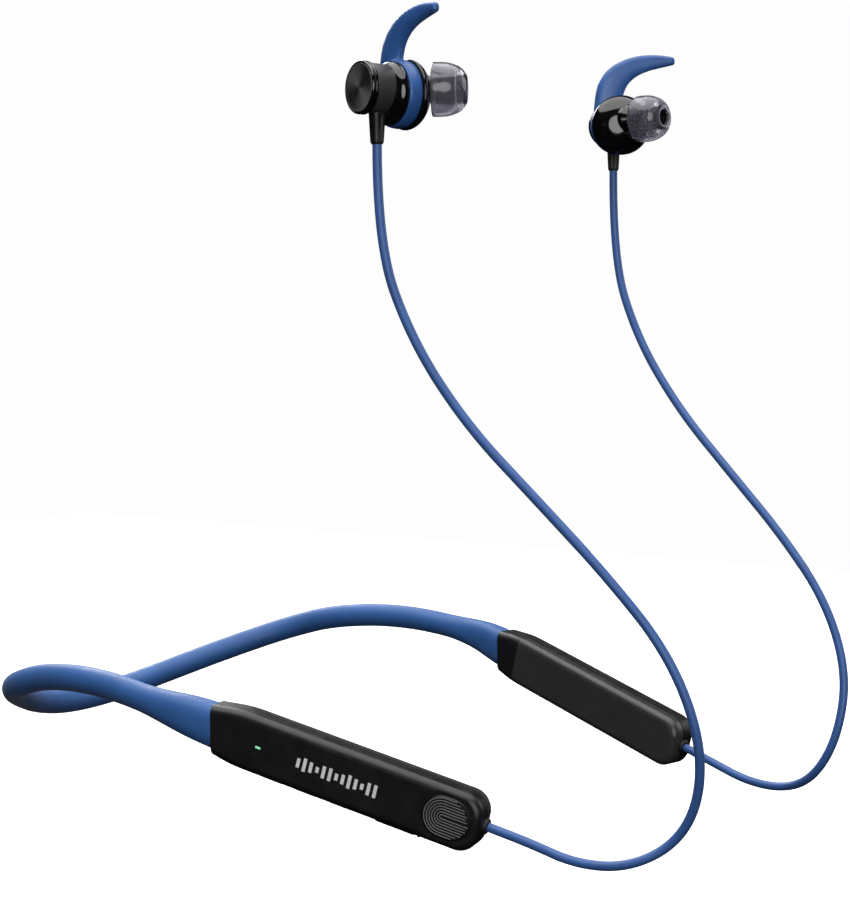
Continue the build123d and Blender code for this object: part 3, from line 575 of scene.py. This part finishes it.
def chamber_place(side):
    """Middle of the wing's ring, z along the chamber, y upright."""
    axis = joint_axis(f"{side}_ear_wing_turn")
    place = Matrix((UP.cross(axis), UP, axis)).transposed().to_4x4()
    place.translation = Vector(JOINTS[f"{side}_ear_wing_turn"]["pos_m"])
    return place


def cap_axis(side):
    """The cap's own axis, from the magnet that sits square on it."""
    return joint_axis(f"{side}_ear_wing_turn")


def make_cap(side):
    """A spun metal disc, very slightly dished, with a double ridge behind its rim."""
    axis = cap_axis(side)
    place = axis_place(f"earbud_cap_{side}", axis)
    low, high = reach(f"earbud_cap_{side}", UP)
    rim = (high - low) / 2 / MM
    face = [(0.3, 0.05), (0.2, 0.5), (0.26, rim * 0.45), (0.14, rim - 1.05), (0.06, rim - 0.75),
            (0.1, rim - 0.6), (0.6, rim - 0.62), (0.7, 0.05)]
    edge = [(0.12, rim - 0.62), (0.0, rim - 0.4), (0.1, rim - 0.12), (0.4, rim), (0.85, rim),
            (1.0, rim - 0.25), (1.15, rim - 0.25), (1.3, rim), (1.75, rim), (1.95, rim - 0.15),
            (2.0, rim - 0.6), (1.0, rim - 0.8), (0.5, rim - 0.7)]
    disc = turned(f"earbud_disc_{side}", rounded(face, 0.08, 4, closed=False), place,
                  MATERIALS["cap_metal"], closed=False)
    rim_ring = turned(f"disc_rim_{side}", rounded(edge, 0.08, 4), place, MATERIALS["gloss_black"])
    for piece, slot_name in ((disc, "cap_metal"), (rim_ring, "gloss_black")):
        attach(piece, f"{side}_earbud")
        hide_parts(f"earbud_cap_{side}")


def make_barrel(side):
    """A satin tube behind the disc, sunk in the glossy bulge of the speaker chamber."""
    cap_at = axis_place(f"earbud_cap_{side}", cap_axis(side))
    tube = [(2.0, 5.0), (2.05, 5.9), (8.8, 5.9), (8.9, 5.5), (8.9, 4.7), (2.0, 4.7)]
    barrel = turned(f"barrel_tube_{side}", rounded(tube, 0.2, 4), cap_at,
                    MATERIALS["barrel_finish"])
    chamber_at = chamber_place(side)
    bulge = [(-4.9, 4.9), (-4.7, 5.8), (-4.0, 7.0), (-3.0, 7.62), (-2.1, 7.62), (-1.9, 7.4),
             (-1.9, 7.02), (1.9, 7.02), (1.9, 6.1), (-1.95, 6.1), (-3.6, 5.95), (-4.5, 4.8)]
    chamber = turned(f"chamber_shell_{side}", rounded(bulge, 1.0, 6), chamber_at,
                     MATERIALS["gloss_black"])
    for piece, slot_name in ((barrel, "barrel_finish"), (chamber, "gloss_black")):
        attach(piece, f"{side}_earbud")
        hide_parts(f"earbud_barrel_{side}")


def make_dome(side):
    """The polished front of the chamber, a touch wider than the wing's ring."""
    turns = [math.radians(6 * k) for k in range(1, 15)]
    arc = [(DOME_START + DOME_RISE * math.sin(turn), DOME_WIDE * math.cos(turn)) for turn in turns]
    profile = [(DOME_START, 7.2), (DOME_START, DOME_WIDE - 0.25),
               (DOME_START + 0.12, DOME_WIDE - 0.06), *arc, (DOME_START + DOME_RISE, 0.05)]
    dome = turned(f"dome_{side}", profile, chamber_place(side), MATERIALS["gloss_black"],
                  closed=False)
    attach(dome, f"{side}_earbud")


def make_tip(side):
    """A soft umbrella: a core tube on the nozzle, rolled back at its mouth into a thin skirt."""
    axis = joint_axis(f"{side}_ear_tip_pull")
    place = axis_place(f"ear_tip_{side}", axis)
    low, high = reach(f"ear_tip_{side}", axis)
    length = (high - low) / MM
    low, high = reach(f"ear_tip_{side}", UP)
    wide = (high - low) / 2 / MM
    mouth, bore = TIP_MOUTH, TIP_BORE
    core = [(length - 0.5, mouth), (length - 1.15, mouth), (length - 1.3, bore), (1.1, bore),
            (1.1, bore + 0.95), (length - 3.2, bore + 1.05), (length - 1.4, bore + 0.5),
            (length - 0.5, mouth + 0.6)]
    skirt = [(length - 0.6, mouth + 0.5), (length - 1.6, bore + 0.6), (length - 3.0, bore + 1.2),
             (length - 2.4, wide - 2.3), (length - 4.2, wide - 1.1), (0.2, wide - 0.55),
             (0.0, wide - 0.3), (0.2, wide), (length - 4.6, wide - 0.1),
             (length - 1.6, wide - 1.2), (length - 0.2, wide - 3.0), (length, mouth + 0.6),
             (length - 0.2, mouth + 0.1)]
    for label, profile, material in (("tip_core", core, "tip_core"),
                                     ("silicone_tip", skirt, "tip_silicone")):
        piece = turned(f"{label}_{side}", rounded(profile, 1.2, 7), place, MATERIALS[material])
        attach(piece, f"{side}_ear_tip")
        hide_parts(f"ear_tip_{side}")


def make_wing(side):
    """A soft ring round the chamber that grows into a curved fin."""
    place = chamber_place(side)
    low, high = reach(f"ear_wing_{side}", place.col[2].to_3d())
    half = (high - low) / 2 / MM
    form = bmesh.new()
    ring = rounded([(-half, RING_BORE), (half, RING_BORE), (half, 7.95), (0.4, 8.25),
                    (-half, 7.95)], 0.7, 6)
    skin(form, [circle(radius * MM, along * MM) for along, radius in ring], closed=True)
    ahead = -side_sign(side)
    outer = spline_line([(x, y, 0) for x, y in FIN_OUTER], FIN_STEPS)
    inner = spline_line([(x, y, 0) for x, y in FIN_INNER], FIN_STEPS)
    rings = []
    for i in range(FIN_STEPS + 1):
        t = i / FIN_STEPS
        a = outer[round(t * (len(outer) - 1))]
        b = inner[round(t * (len(inner) - 1))]
        rings.append(fin_ring((a + b) / 2, (a - b) / 2, 1.7 - 0.65 * smoothstep(t), ahead))
    middle, reach_out = (outer[-1] + inner[-1]) / 2, (outer[-1] - inner[-1]) / 2
    forward = Vector((0.98, -0.1, 0))
    for k in range(1, 7):
        turn = math.radians(14 * k)
        rings.append(fin_ring(middle + forward * 0.8 * math.sin(turn), reach_out * math.cos(turn),
                              1.05 * math.cos(turn), ahead))
    skin(form, rings)
    wing = mesh_from(f"soft_wing_{side}", form, MATERIALS["wing_silicone"])
    wing.matrix_world = place
    soften(wing, 0.22, 6)
    for vertex in wing.data.vertices:
        distance = math.hypot(vertex.co.x, vertex.co.y)
        if distance < RING_BORE * MM:
            vertex.co.xy = vertex.co.xy * (RING_BORE * MM / max(distance, 1e-6))
    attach(wing, f"{side}_ear_wing")
    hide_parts(f"ear_wing_{side}")


def fin_ring(middle, half_width, half_thick, ahead):
    """One section of the fin: wide across the outline, rounded through its thickness."""
    ring = []
    for k in range(40):
        x, y = superellipse(2 * math.pi * k / 40, 2.4)
        flat = middle + half_width * x
        ring.append(Vector((ahead * flat.x, flat.y + FIN_RISE, half_thick * y)) * MM)
    return ring


def soften(obj, voxel, rounds):
    """Fuses overlapping closed forms into one skin and rounds where they meet."""
    obj.data.remesh_voxel_size = voxel * MM
    remesh = obj.modifiers.new("fuse", "REMESH")
    remesh.mode = "VOXEL"
    remesh.voxel_size = voxel * MM
    remesh.use_smooth_shade = True
    smooth = obj.modifiers.new("round", "SMOOTH")
    smooth.factor = 0.6
    smooth.iterations = rounds
    graph = bpy.context.evaluated_depsgraph_get()
    obj.data = bpy.data.meshes.new_from_object(obj.evaluated_get(graph))
    obj.modifiers.clear()


def make_relief(side):
    """A ribbed, tapered rubber sleeve where the lead enters the earbud."""
    name = f"strain_relief_{side}"
    low, high = reach(name, UP)
    centre = Vector(JOINTS[f"{side}_earbud_twist"]["pos_m"])
    axis = cap_axis(side)
    across = UP.cross(axis)
    form = bmesh.new()
    rings = []
    steps = 30
    for i in range(steps + 1):
        t = i / steps
        z = low + (high - low) * t
        half = (1.42 + 0.38 * t) * MM
        if t < 0.08:
            half *= 0.8 + 0.2 * math.sin(math.pi / 2 * t / 0.08)
        ring = []
        for k in range(ROUND):
            turn = 2 * math.pi * k / ROUND
            x, y = superellipse(turn, 3.2)
            rib = math.exp(-((math.cos(4 * turn) - 1) / 0.12) ** 2) * min(1, (1 - t) * 6)
            out = (axis * x + across * y) * (half * (1 - 0.1 * rib))
            ring.append(Vector((centre.x, centre.y, z)) + out)
        rings.append(ring)
    skin(form, rings)
    relief = mesh_from(f"lead_relief_{side}", form, MATERIALS["soft_black_rubber"])
    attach(relief, f"{side}_earbud")
    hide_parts(name)


# ---- stage ----

def make_light(name, place, aim, size, power, colour=(1, 1, 1)):
    data = bpy.data.lights.new(name, "AREA")
    data.shape = "DISK"
    data.size = size
    data.energy = power
    data.color = colour
    light = bpy.data.objects.new(name, data)
    light.location = place
    light.rotation_euler = (Vector(aim) - Vector(place)).to_track_quat("-Z", "Y").to_euler()
    bpy.context.scene.collection.objects.link(light)


def make_stage():
    """A pale floor under the object, white all round, and soft lamps overhead and in front."""
    form = bmesh.new()
    bmesh.ops.create_grid(form, x_segments=8, y_segments=8, size=0.55)
    floor = mesh_from("floor", form, grained("floor", (0.9, 0.9, 0.9), 0.9, 40, 0.01, drift=900,
                                             Emission_Color=(1, 1, 1, 1), Emission_Strength=0.45))
    floor.location.z = FLOOR_Z
    floor.visible_diffuse = False
    floor.visible_glossy = False
    world = bpy.data.worlds.new("studio")
    world.use_nodes = True
    world.node_tree.nodes["Background"].inputs["Color"].default_value = (0.985, 0.985, 0.985, 1)
    world.cycles_visibility.diffuse = False
    world.cycles_visibility.glossy = False
    bpy.context.scene.world = world
    middle = (0, -0.12, 0.06)
    make_light("overhead", (-0.1, -0.1, 1.1), middle, 1.8, 22)
    make_light("front_fill", (-1.0, -1.0, 0.25), middle, 1.0, 9)
    make_light("back_rim", (0.7, 0.9, 0.8), middle, 0.7, 9)
    make_light("side_fill", (1.0, -0.9, 0.5), middle, 0.8, 3)
    bpy.context.scene.view_settings.view_transform = "Standard"


make_camera()
MATERIALS = make_materials()
for side in SIDES:
    make_cord(side)
paint_frame()
for side in SIDES:
    make_sleeve(side)
    make_cap(side)
    make_barrel(side)
    make_dome(side)
    make_tip(side)
    make_wing(side)
    make_relief(side)
make_level_bars()
make_touch_rings()
make_stage()
